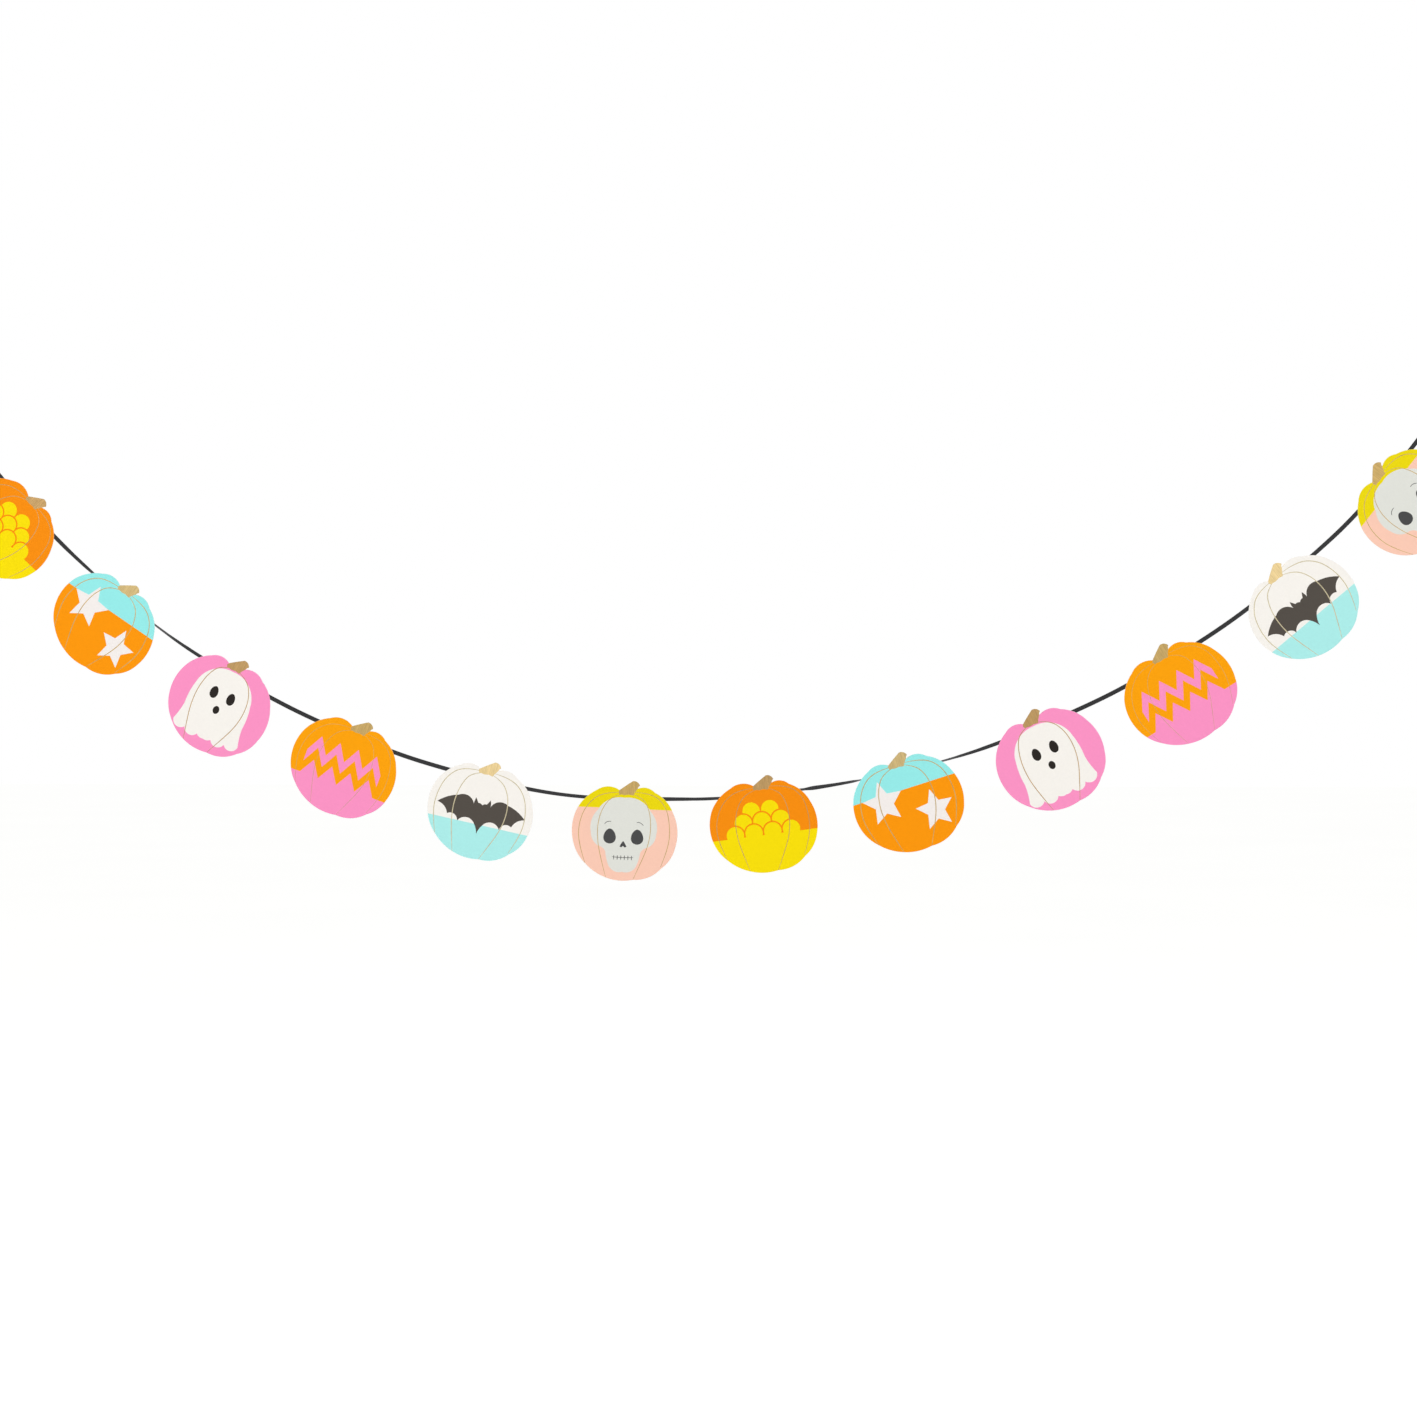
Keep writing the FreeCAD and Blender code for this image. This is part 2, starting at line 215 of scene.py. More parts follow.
def wovenRibbon(name, hexColour):
    # Black polyester grosgrain: weft ribs straight across, a soft sheen on each, a smoother selvedge; the rib crests
    # are painted lighter and the grooves darker, a painted highlight and painted shade.
    weave = {"rib": 0.8, "warp": 0.25, "relief": 0.05}  # mm; ribs and threads are coarse enough to show
    bandsPerUnit = 20 / math.tau  # a wave texture's bands at scale 1
    material, tree = startMaterial(name)
    place = addNode(tree, "ShaderNodeUVMap", {}, uv_map="woven").outputs[0]
    ribs = addNode(tree, "ShaderNodeTexWave", {
        "Vector": place, "Scale": 1 / (weave["rib"] * mm * bandsPerUnit), "Distortion": 0.25, "Detail": 1,
    }, wave_type="BANDS", bands_direction="X").outputs["Fac"]
    warps = addNode(tree, "ShaderNodeTexWave", {
        "Vector": place, "Scale": 1 / (weave["warp"] * mm * bandsPerUnit), "Distortion": 0.4,
    }, wave_type="BANDS", bands_direction="Y").outputs["Fac"]
    raised = addNode(tree, "ShaderNodeMath", {0: warps, 1: 0.25, 2: ribs}, operation="MULTIPLY_ADD").outputs[0]
    # Painted highlight and painted shade: each rib's crest is painted lighter and the groove between ribs darker, for
    # how light falls across the ribs.
    ribHighlightAndGrooveShade = addNode(tree, "ShaderNodeMix", {
        0: ribs, 6: linearColour(hexColour, 0.45), 7: linearColour(hexColour, 1.25),
    }, data_type="RGBA").outputs[2]
    dull = addNode(tree, "ShaderNodeMapRange", {"Value": ribs, "To Min": 0.75, "To Max": 0.5}).outputs[0]
    relief = addNode(tree, "ShaderNodeBump", {
        "Height": raised, "Distance": weave["relief"] * mm, "Strength": 0.9,
    })
    shader = addNode(tree, "ShaderNodeBsdfPrincipled", {
        "Base Color": ribHighlightAndGrooveShade, "Roughness": dull, "Normal": relief.outputs[0],
        "IOR": 1.5, "Specular IOR Level": 0.35,
        "Sheen Weight": 0.15, "Sheen Roughness": 0.4, "Sheen Tint": linearColour("9A9AA0"),
    })
    addNode(tree, "ShaderNodeOutputMaterial", {"Surface": shader.outputs[0]})
    return material


inkColours = {
    "orange": "FD9804", "amber": "FDA304", "tangerine": "F88E08", "lemon": "F9E002", "mustard": "ECD90A",
    "pink": "FC94C6", "aqua": "97ECEA", "paleAqua": "ADEEEB", "peach": "FBCBB6", "cream": "F8F4EE",
    "starWhite": "F5EFEC", "boneGrey": "E1E2DB", "soot": "534D47", "black": "2A2522",
    "slate": "4A4A4B",
}
inks = {name: printedInk(name + "Ink", colour) for name, colour in inkColours.items()}
# One gold foil on every card: the plain foil keeps its own colour, and the four others are lit and shaded copies of
# it, painted darker or lighter card by card for how the foil caught the light. The deeper copy is painted shade; the
# lighter copy, the paler copy and the pale rib lines are painted highlight.
inks["foil"] = goldFoil("goldFoil", "BD9F64")
inks["deepFoil"] = goldFoil("shadedGoldFoil", "B49260")
inks["lightFoil"] = goldFoil("litGoldFoil", "C4AC77")
inks["paleFoil"] = goldFoil("brightLitGoldFoil", "E0C791")
inks["paleRib"] = goldFoil("litLineFoil", "C6BB9A")
boardBack = uncoatedPaper("uncoatedBoardBack", "F0EEE9", 0.02)
boardCore = uncoatedPaper("dieCutCore", "F4F2EC", 0.03)
tabPaper = uncoatedPaper("gummedTabPaper", "F3F1EC", 0.015)
ribbonCloth = wovenRibbon("blackGrosgrain", "1D1D1F")
print("materials:", len(inks) + 4)


def readCurve(points, resolution):
    # A smooth line through a route: its points are a NURBS line's control points, read back with no bevel.
    curve = bpy.data.curves.new("line", "CURVE")
    curve.dimensions = "3D"
    spline = curve.splines.new("NURBS")
    spline.points.add(len(points) - 1)
    for control, point in zip(spline.points, points):
        control.co = (*point, 1)
    spline.order_u = 3
    spline.use_endpoint_u = True
    spline.resolution_u = resolution
    holder = bpy.data.objects.new("line", curve)
    mesh = bpy.data.meshes.new_from_object(holder)
    line = [vertex.co.copy() for vertex in mesh.vertices]
    bpy.data.objects.remove(holder)
    bpy.data.curves.remove(curve)
    bpy.data.meshes.remove(mesh)
    return line


def distancesAlong(line):
    distances = [0.0]
    for before, after in zip(line, line[1:]):
        distances.append(distances[-1] + (after - before).length)
    return distances


def easedBetween(keys, place):
    # keys are pairs of place and value; the value eases from each to the next.
    if place <= keys[0][0]:
        return keys[0][1]
    for (start, low), (end, high) in zip(keys, keys[1:]):
        if place <= end:
            share = (place - start) / (end - start)
            return low + (high - low) * share * share * (3 - 2 * share)
    return keys[-1][1]


def makePiece(name, mesh, node):
    piece = bpy.data.objects.new(name, mesh)
    scene.collection.objects.link(piece)
    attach(piece, "root")
    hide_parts(node)
    return piece


def unwrapFlat(mesh, name, coordinates):
    # coordinates holds one pair for each vertex, or for each corner of a face.
    layer = mesh.uv_layers.new(name=name)
    perCorner = len(coordinates) == len(mesh.loops) and len(mesh.loops) != len(mesh.vertices)
    for loop in mesh.loops:
        layer.data[loop.index].uv = coordinates[loop.index if perCorner else loop.vertex_index]


# Half a ribbon's section as shares of its half width and half thickness, with a fuller selvedge at each edge.
ribbonSection = [
    (-1, 0.5), (-0.96, 1.2), (-0.88, 1.15), (-0.8, 1), (0, 1), (0.8, 1), (0.88, 1.15), (0.96, 1.2), (1, 0.5),
]


def ribbonMesh(name, rings):
    # rings hold a centre, the way across, the way through and the two half sizes, all in metres.
    section = ribbonSection + [(-across, -through) for across, through in ribbonSection]
    count = len(section)
    vertices = []
    for centre, across, through, halfWidth, halfThick in rings:
        for a, b in section:
            vertices.append(centre + across * (a * halfWidth) + through * (b * halfThick))
    faces = []
    corners = []
    distances = distancesAlong([ring[0] for ring in rings])
    heights = [a * rings[0][3] for a, b in section]
    heights.append(heights[0])
    for i in range(len(rings) - 1):
        for j in range(count):
            k = (j + 1) % count
            faces.append((i * count + j, i * count + k, (i + 1) * count + k, (i + 1) * count + j))
            corners += [(distances[i], heights[j]), (distances[i], heights[j + 1]),
                        (distances[i + 1], heights[j + 1]), (distances[i + 1], heights[j])]
    for start, turn in ((0, -1), ((len(rings) - 1) * count, 1)):
        cap = [start + j for j in range(count)][::turn]
        faces.append(cap)
        corners += [(distances[0 if start == 0 else -1], heights[j - start]) for j in cap]
    mesh = bpy.data.meshes.new(name)
    mesh.from_pydata(vertices, [], faces)
    unwrapFlat(mesh, "woven", corners)
    mesh.materials.append(ribbonCloth)
    mesh.shade_smooth()
    mesh.set_sharp_from_angle(angle=math.radians(sharpAngles["ribbon"]))
    return mesh


# The ribbon: flat behind the cards, and turned between them as it shows, in degrees of turn
# at even steps across what shows of each gap. The first and last rows are the two tails.
ribbon = {
    "width": 5.0, "thickness": 0.3,  # mm
    "flatUpTo": 20, "hiddenUpTo": 47,  # mm from the middle of a card
    "tail": 12,  # mm from a knot to where a tail's turns begin
    "steps": 40,
    "bunch": 9, "gathered": 0.55,  # mm beside a knot where the ribbon gathers, and the share of its width left
    "turns": [
        [6, 14, 8],
        [28, 30, 44, 50, 66],
        [76, 70, 58, 48, 46],
        [10, 4, 2, 8],
        [6, 8, 14],
        [28, 34, 38, 40],
        [28, 38, 46, 46, 52],
        [60, 22, 36, 46, 54, 76],
        [70, 64, 52, 44, 34, 32],
        [4, 0, 3],
        [5, 2, 6, 14],
        [20, 16, 8, 4, 6],
        [8, 16, 4],
    ],
}
centreLine = readCurve([(x, 0, z) for x, z in course], ribbon["steps"])
places = distancesAlong(centreLine)
seats = []
for i in range(len(designOrder)):
    middle = runBehind(i)[0]
    middle = Vector((middle.x, 0, middle.y))
    nearest = min(range(len(centreLine)), key=lambda k: (centreLine[k] - middle).length)
    seats.append(places[nearest])

turnKeys = [(0.0, 0.0)]
leanKeys = [(0.0, 0.0)]
full = 0.0  # whole half turns so far
for gap, turns in enumerate(ribbon["turns"]):
    isFirst = gap == 0
    isLast = gap == len(seats)
    start = ribbon["tail"] * mm if isFirst else seats[gap - 1] + ribbon["hiddenUpTo"] * mm
    end = places[-1] - ribbon["tail"] * mm if isLast else seats[gap] - ribbon["hiddenUpTo"] * mm
    for i, turn in enumerate(turns):
        turnKeys.append((start + (end - start) * i / (len(turns) - 1), full + turn))
    for place, turn in ((start, turns[0]), (end, turns[-1])):
        leanKeys.append((place, ribbon["width"] / 2 * mm * abs(math.sin(math.radians(turn)))))
    full += 180 * round(turns[-1] / 180)
    if isLast:
        turnKeys.append((places[-1], full))
    else:
        for side in (-1, 1):
            turnKeys.append((seats[gap] + side * ribbon["flatUpTo"] * mm, full))
            leanKeys.append((seats[gap] + side * ribbon["flatUpTo"] * mm, 0.0))
leanKeys.append((places[-1], 0.0))


def gatherAt(place, whole):
    # The share of its width that a ribbon keeps at a place on it; it gathers beside the knots.
    nearKnot = min(place, whole - place) / (ribbon["bunch"] * mm)
    return ribbon["gathered"] + (1 - ribbon["gathered"]) * min(1, nearKnot)


rings = []
for i, point in enumerate(centreLine):
    before = centreLine[max(i - 1, 0)]
    after = centreLine[min(i + 1, len(centreLine) - 1)]
    along = (after - before).normalized()
    turn = math.radians(easedBetween(turnKeys, places[i]))
    lean = easedBetween(leanKeys, places[i])  # a turned ribbon leans clear of the card's back
    flatAcross = along.cross(Vector((0, 1, 0)))
    across = flatAcross * math.cos(turn) + Vector((0, 1, 0)) * math.sin(turn)
    through = across.cross(along)
    gather = gatherAt(places[i], places[-1])
    centre = point + Vector((0, lean, 0))
    rings.append((centre, across, through,
                  ribbon["width"] / 2 * mm * gather, ribbon["thickness"] / 2 * mm / gather))
ribbonRun = makePiece("ribbonRun", ribbonMesh("ribbonRun", rings), "ribbon")

# The hanging loops: the ribbon's end goes round the hook and back to its knot.
loop = {
    "rightHalf": [(0, 0.5), (12, 3.4), (23, 7.6), (32.5, 9.7)],  # mm from the knot, and sideways
    "shoulder": 5.4,  # mm sideways at the hook
    "steps": 14,
}
knot = {
    "length": 9.2, "width": 7.2, "depth": 4.4,  # mm, the core under the wraps
    "fullness": 0.6,  # under 1 the core is blunter than an egg
    "rings": 15, "around": 28,
    "pleats": 5, "pleatDepth": 0.05, "pleatTurn": 0.5,  # folds round the core, as a share of its size
    "weave": (0.6, 0.7),  # mm of cloth from ring to ring and from point to point
    "wrapWidth": 3.9, "wrapThickness": 0.5, "wrapSteps": 44,
    "wraps": [  # mm along the core, degrees round it and mm of lift, from end to end of each wrap
        [(-2.3, -40, 0.2), (-1.6, 80, 0.25), (-0.4, 200, 0.25), (1.0, 320, 0.25), (2.4, 440, 0.2)],
        [(2.9, 150, 0.45), (1.4, 215, 0.75), (0, 270, 0.85), (-1.4, 325, 0.75), (-2.9, 390, 0.45)],
    ],
}


def makeLoop(name, knotPlace, hookPlace):
    start = Vector((knotPlace[0], 0, knotPlace[1]))
    towards = Vector((hookPlace[0], 0, hookPlace[1])) - start
    reach = towards.length + ribbon["thickness"] / 2 * mm
    towards.normalize()
    sideways = towards.cross(Vector((0, 1, 0)))
    half = [(u * mm, v * mm) for u, v in loop["rightHalf"]] + [(reach, loop["shoulder"] * mm)]
    controls = half + [(u, -v) for u, v in reversed(half)]
    line = readCurve([start + towards * u + sideways * v for u, v in controls], loop["steps"])
    lengths = distancesAlong(line)
    rings = []
    for i, point in enumerate(line):
        along = (line[min(i + 1, len(line) - 1)] - line[max(i - 1, 0)]).normalized()
        gather = gatherAt(lengths[i], lengths[-1])
        across = Vector((0, 1, 0))
        rings.append((point, across, across.cross(along),
                      ribbon["width"] / 2 * mm * gather, ribbon["thickness"] / 2 * mm / gather))
    return makePiece(name, ribbonMesh(name, rings), "ribbon")


def makeKnot(name, knotPlace, inwardPlace):
    # An overhand knot pulled tight: a gathered core, one wrap wound round it and one that crosses its front.
    centre = Vector((knotPlace[0], 0, knotPlace[1]))
    axis = (Vector((inwardPlace[0], 0, inwardPlace[1])) - centre).normalized()
    side = axis.cross(Vector((0, 1, 0)))
    deep = Vector((0, 1, 0))
    halfLength, halfWidth, halfDepth = (knot[k] / 2 * mm for k in ("length", "width", "depth"))

    def onCore(drift, angle, lift):
        swell = math.sqrt(max(0.0, 1 - (drift / halfLength) ** 2)) ** knot["fullness"]
        return (centre + axis * drift + side * ((halfWidth * swell + lift) * math.cos(angle))
                + deep * ((halfDepth * swell + lift) * math.sin(angle)))

    vertices = []
    faces = []
    corners = []
    ringCount, around = knot["rings"], knot["around"]
    for i in range(ringCount):
        drift = -halfLength * math.cos(math.pi * (i + 0.5) / ringCount)
        for j in range(around):
            pleat = math.sin(knot["pleats"] * math.tau * j / around + i * knot["pleatTurn"])
            fold = 1 + knot["pleatDepth"] * pleat
            base = centre + axis * drift
            vertices.append(base + (onCore(drift, math.tau * j / around, 0) - base) * fold)
    ringStep, roundStep = (step * mm for step in knot["weave"])
    for i in range(ringCount - 1):
        for j in range(around):
            k = (j + 1) % around
            faces.append((i * around + j, (i + 1) * around + j, (i + 1) * around + k, i * around + k))
            corners += [(i * ringStep, j * roundStep), ((i + 1) * ringStep, j * roundStep),
                        ((i + 1) * ringStep, (j + 1) * roundStep), (i * ringStep, (j + 1) * roundStep)]
    for start, turn in ((0, 1), ((ringCount - 1) * around, -1)):
        cap = [start + j for j in range(around)][::turn]
        faces.append(cap)
        corners += [(0, 0)] * around
    core = bpy.data.meshes.new(name)
    core.from_pydata(vertices, [], faces)
    unwrapFlat(core, "woven", corners)
    core.materials.append(ribbonCloth)
    core.shade_smooth()

    pieces = [core]
    steps = knot["wrapSteps"]
    for number, wrap in enumerate(knot["wraps"]):
        keysDrift = [(i / (len(wrap) - 1), row[0]) for i, row in enumerate(wrap)]
        keysLift = [(i / (len(wrap) - 1), row[2]) for i, row in enumerate(wrap)]
        bandRings = []
        line = []
        for step in range(steps + 1):
            share = step / steps
            angle = math.radians(wrap[0][1] + (wrap[-1][1] - wrap[0][1]) * share)
            drift = easedBetween(keysDrift, share) * mm
            line.append((onCore(drift, angle, easedBetween(keysLift, share) * mm), centre + axis * drift))
        for i, (point, middle) in enumerate(line):
            along = (line[min(i + 1, steps)][0] - line[max(i - 1, 0)][0]).normalized()
            outward = (point - middle)
            outward = (outward - along * outward.dot(along)).normalized()
            across = along.cross(outward)
            bandRings.append((point, across, across.cross(along), knot["wrapWidth"] / 2 * mm,
                              knot["wrapThickness"] / 2 * mm))
        pieces.append(ribbonMesh(f"{name}Wrap{number}", bandRings))
    joined = [bpy.data.objects.new(mesh.name, mesh) for mesh in pieces]
    for item in joined:
        scene.collection.objects.link(item)
    with bpy.context.temp_override(active_object=joined[0], selected_editable_objects=joined):
        bpy.ops.object.join()
    whole = joined[0]
    whole.name = name
    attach(whole, "root")
    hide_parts("ribbon")
    return whole


ribbonEnds = [
    makeKnot("leftKnot", course[0], course[1]),
    makeLoop("leftLoop", course[0], leftHook),
    makeKnot("rightKnot", course[-1], course[-2]),
    makeLoop("rightLoop", course[-1], rightHook),
]
print("knots and loops:", len(ribbonEnds))

# The card, drawn flat in millimetres from its middle: x to the right and z up.
cardShape = {
    "halfWidth": 63, "halfHeight": 55, "thickness": 0.45,
    "stemRightFoot": (0.183, 0.931),
    # The notch that each lobe ends at, in halves of the width and height, and the lobe's bulge by its chord.
    "lobes": [
        (0.548, 0.873, 0.160), (0.917, 0.455, 0.098), (0.990, -0.273, 0.097), (0.748, -0.727, 0.092),
        (0.225, -1.000, 0.114), (-0.294, -0.982, 0.071), (-0.698, -0.705, 0.061), (-0.943, -0.264, 0.073),
        (-0.917, 0.409, 0.086), (-0.548, 0.860, 0.085), (-0.159, 0.884, 0.159),
    ],
    "stemRise": 11.4, "stemLean": 5.5, "stemTip": 8.4, "stemDrop": 5.0,
    "stemBulges": (0.01, 0.18, -0.10),
    "ribbonDrop": 10.3,  # mm from the stem's left foot down to the ribbon
    "hang": 93,  # mm from the ribbon down to the lowest edge, for the bow
    "cutStep": 1.4,  # length of the pieces that each cut curve is drawn with
    "frontRound": 0.08, "backRound": 0.05,  # the die presses the front rim round
}
# The points between the prints, which let the card bend: their spacing and the row spacing's share of it,
# how far the rows run, half of the area kept, how far the points stay from every drawn edge, and the cell
# that edge points are looked up in.
net = {
    "spacing": 4.0, "rowShare": 0.87, "span": 130, "halfWidth": 66, "halfHeight": 62, "clear": 1.1, "cell": 1.6,
}


def ribbonHeight(index):
    # The ribbon's line on a card, above the card's middle in mm.
    leftFoot = cardShape["halfHeight"] * dies[designOrder[index]][1] * cardShape["lobes"][-1][1]
    return leftFoot - cardShape["ribbonDrop"] + drops[index]


def arcPoints(start, end, bulge, step):
    # From start up to end, without end, along an arc that bulges to the left by a share of its chord.
    chord = end - start
    halfAngle = 2 * math.atan(2 * abs(bulge))
    arcShare = 1 + 2.6 * bulge * bulge  # the arc's length by its chord, near enough
    count = max(1, round(chord.length * arcShare / step))
    if not bulge:
        return [start.lerp(end, i / count) for i in range(count)]
    radius = chord.length / 2 / math.sin(halfAngle)
    along = chord.normalized()
    left = Vector((-along.y, along.x)) * math.copysign(1, bulge)
    centre = (start + end) / 2 - left * (radius * math.cos(halfAngle))
    angles = [halfAngle * (2 * i / count - 1) for i in range(count)]
    return [centre + (left * math.cos(angle) + along * math.sin(angle)) * radius for angle in angles]


def drawShape(corners, step=cardShape["cutStep"]):
    # corners run clockwise: x, z and the bulge of the edge that leaves the corner, which swells outwards.
    points = []
    for (x, z, bulge), (nextX, nextZ, _) in zip(corners, corners[1:] + corners[:1]):
        points += arcPoints(Vector((x, z)), Vector((nextX, nextZ)), bulge, step)
    return points


def mirrored(rightHalf):
    # A shape from its right half, which runs clockwise from the top middle to the bottom middle.
    leftHalf = [(-x, z, bulge) for (x, z, _), (_, _, bulge) in zip(rightHalf[1:], rightHalf)]
    return rightHalf[:-1] + leftHalf[::-1][:len(rightHalf) - 1]


def fieldBelow(height, reach=80, step=8):
    # A field of ink that runs past the cut on its other three sides.
    return drawShape([(-reach, height, 0), (reach, height, 0), (reach, -reach, 0), (-reach, -reach, 0)], step)


def star(x, z, halfWidth, tallness=1.07, inner=0.47, arms=5):
    corners = []
    for i in range(2 * arms):
        reach = halfWidth if i % 2 == 0 else halfWidth * inner
        angle = math.pi * i / arms
        corners.append((x + reach * math.sin(angle), z + reach * tallness * math.cos(angle), 0))
    return drawShape(corners)


def zigzag(halfWidth, peaks, low, high, thickness=None, foot=4):
    # Peaks side by side: a band as thick as given, or filled down to a foot below them.
    top = []
    for i in range(2 * peaks + 1):
        top.append((-halfWidth + halfWidth * i / peaks, high if i % 2 else low))
    bottom = [(-halfWidth, low - foot), (halfWidth, low - foot)]
    if thickness:
        bottom = [(x, z - thickness) for x, z in top]
    return drawShape([(x, z, 0) for x, z in top + bottom[::-1]])


def oval(x, z, halfWidth, halfHeight, taper=0.0, steps=36):
    points = []
    for i in range(steps):
        angle = math.tau * i / steps
        narrowed = 1 - taper * math.cos(angle)
        points.append(Vector((x + halfWidth * math.sin(angle) * narrowed, z + halfHeight * math.cos(angle))))
    return points


def stroke(points, width, resolution=12, endShare=0.5, taper=8):
    # A drawn line, which thins towards its ends over one part in so many of its length.
    line = readCurve([(x, 0, z) for x, z in points], resolution)
    line = [Vector((p.x, p.z)) for p in line]
    left, right = [], []
    for i, point in enumerate(line):
        along = (line[min(i + 1, len(line) - 1)] - line[max(i - 1, 0)]).normalized()
        share = i / (len(line) - 1)
        half = width / 2 * (endShare + (1 - endShare) * min(1, taper * share, taper * (1 - share)))
        left.append(point + Vector((-along.y, along.x)) * half)
        right.append(point - Vector((-along.y, along.x)) * half)
    return left + right[::-1]


# The right halves of the figures, as x, z and bulge in mm.
batHalf = [
    (0, 6.6, 0.12), (5.2, 8.4, 0.0), (8.8, 14.2, 0.05), (10.2, 6.4, 0.24), (30, 12.6, 0.07),
    (53.2, 0, -0.15), (39, -11.6, -0.30), (25.5, -17.8, -0.27), (6.2, -15.2, -0.07), (0, -28.2, 0),
]
ghostHalf = [
    (0, 43, 0.20), (36, 14, 0.04), (38, -14, -0.03), (42.5, -36, 0.34),
    (26, -40, 0.34), (9, -41.5, 0.14), (0, -44, 0),
]
skullHalf = [
    (0, 40, 0.16), (31, 25, 0.13), (38.5, -1.5, 0.13), (29.5, -17, -0.12),
    (20.5, -23.5, 0.04), (16.5, -39, 0.19), (0, -46.5, 0),
]
noseHalf = [(0, -10.4, 0.04), (4.0, -17.0, 0.22), (0.9, -17.4, 0.1), (0, -16.0, 0)]


def moved(points, x, z):
    return [point + Vector((x, z)) for point in points]


teethLines = (-10.5, -6.3, -2.1, 2.1, 6.3, 10.5)
skullLines = [stroke([(-12.6, -29.4), (0, -30.2), (12.6, -29.4)], 0.7)]
skullLines += [stroke([(x, -27.4), (x + 0.2, -30), (x, -32.6)], 0.8, 4) for x in teethLines]
skullLines += [stroke([(side * 23, 8.4), (side * 20, 12.6), (side * 15, 11.8)], 0.7) for side in (-1, 1)]
scaleRows = [(18.5, (-11, 11)), (5.5, (-22, 0, 22)), (-7.5, (-33, -11, 11, 33))]  # each laps over the one above
scales = [(ink, oval(x, z, radius, radius)) for z, row in scaleRows for x in row
          for ink, radius in (("tangerine", 11.9), ("lemon", 10.2))]

# Each design: the ground colour, the foil of its stem, the foil, width in mm and number of its rib lines,
# the turn of its prints against the cut in degrees, then what is printed, in order, as ink and shape.
# The stem and rib foils chosen per design are painted lit and shaded copies of the one gold foil.
designs = {
    "scallops": {
        "ground": "tangerine", "foil": "deepFoil", "ribs": ("deepFoil", 0.75, 4), "turn": 3.0,
        "prints": [*scales, ("lemon", fieldBelow(-11))]},
    "stars": {"ground": "aqua", "foil": "lightFoil", "ribs": ("foil", 1.0, 4), "turn": 3.0, "prints": [
        ("orange", fieldBelow(16.7)), ("starWhite", star(-26.2, 8.4, 24.4)), ("starWhite", star(28.7, -16.2, 22.8))]},
    "ghost": {"ground": "pink", "foil": "deepFoil", "ribs": ("deepFoil", 0.95, 2), "turn": 3.0, "prints": [
        ("cream", drawShape(mirrored(ghostHalf))), ("black", oval(-11, 12, 5.0, 7.4, 0.1)),
        ("black", oval(11, 12, 5.0, 7.4, 0.1)), ("black", oval(0, -6.5, 3.9, 4.9))]},
    "zigzag": {"ground": "amber", "foil": "foil", "ribs": ("foil", 0.45, 4), "turn": 3.0, "prints": [
        ("pink", fieldBelow(-22.4)), ("pink", zigzag(46.5, 4, -23, -4)),
        ("pink", zigzag(46.5, 4, 5.5, 25.5, 14))]},
    "bat": {"ground": "cream", "foil": "paleFoil", "ribs": ("paleRib", 1.05, 4), "turn": 3.0, "prints": [
        ("paleAqua", fieldBelow(-16)), ("soot", moved(drawShape(mirrored(batHalf)), 2.2, 0.8))]},
    "skull": {"ground": "mustard", "foil": "foil", "ribs": ("foil", 0.8, 4), "turn": 0.8, "prints": [
        ("peach", fieldBelow(27.5)), ("boneGrey", drawShape(mirrored(skullHalf))),
        ("slate", oval(-16.2, -5.3, 7.2, 8.8, 0.2)), ("slate", oval(16.2, -5.3, 7.2, 8.8, 0.2)),
        ("slate", drawShape(mirrored(noseHalf)))] + [("slate", line) for line in skullLines]},
}
ribLines = [
    [(-4, 45), (-18.5, 41), (-28.3, 25), (-31.8, 5), (-30, -15), (-24.5, -35), (-18.5, -53.6)],
    [(5, 45), (19.5, 41), (29.5, 25), (32.5, 5), (30, -15), (22, -36), (14.2, -54.6)],
    [(-8, 46), (-29, 45.5), (-46.5, 30.5), (-54, 8), (-53, -16), (-44, -38.4)],
    [(8, 47), (29, 47), (47.5, 33), (55, 9), (54.5, -16), (46, -38.6)],
]


def pumpkinOutline(wide, high, stemShift):
    footX, footZ = cardShape["stemRightFoot"]
    rows = [(footX, footZ)] + [(x, z) for x, z, _ in cardShape["lobes"]]
    corners = [(x * cardShape["halfWidth"] * wide, z * cardShape["halfHeight"] * high) for x, z in rows]
    tipZ = corners[-1][1] + cardShape["stemRise"]
    corners.append((cardShape["stemLean"], tipZ))
    corners.append((cardShape["stemLean"] + cardShape["stemTip"], tipZ - cardShape["stemDrop"]))
    for i in (0, -3, -2, -1):
        corners[i] = (corners[i][0] + stemShift, corners[i][1])
    bulges = [bulge for _, _, bulge in cardShape["lobes"]] + list(cardShape["stemBulges"])
    return drawShape([(x, z, bulge) for (x, z), bulge in zip(corners, bulges)])


def stemPrint(wide, high, stemShift):
    # The foil covers the stem to its cut edges and spreads a little over the pumpkin at its foot.
    over = [(-10, 48.6), (-6, 64), (18, 64), (17, 53), (11.5, 51.2)]  # beyond the cut nothing is printed
    foot = [(8.4, 46.8), (6.6, 43.0), (1.5, 43.9), (-3.5, 43.0), (-7.4, 43.6), (-9.8, 43.4), (-11.2, 46.4)]
    return [Vector((x * wide + stemShift, z * high)) for x, z in over + foot]


def ribPoints(line, wide, high, stemShift):
    # The ribs gather at the stem, wherever the design has it, and follow its shift from a height in mm upwards.
    shiftFrom, shiftOver = 20, 24
    return [(x * wide + stemShift * min(1, max(0, (z - shiftFrom) / shiftOver)), z * high) for x, z in line]


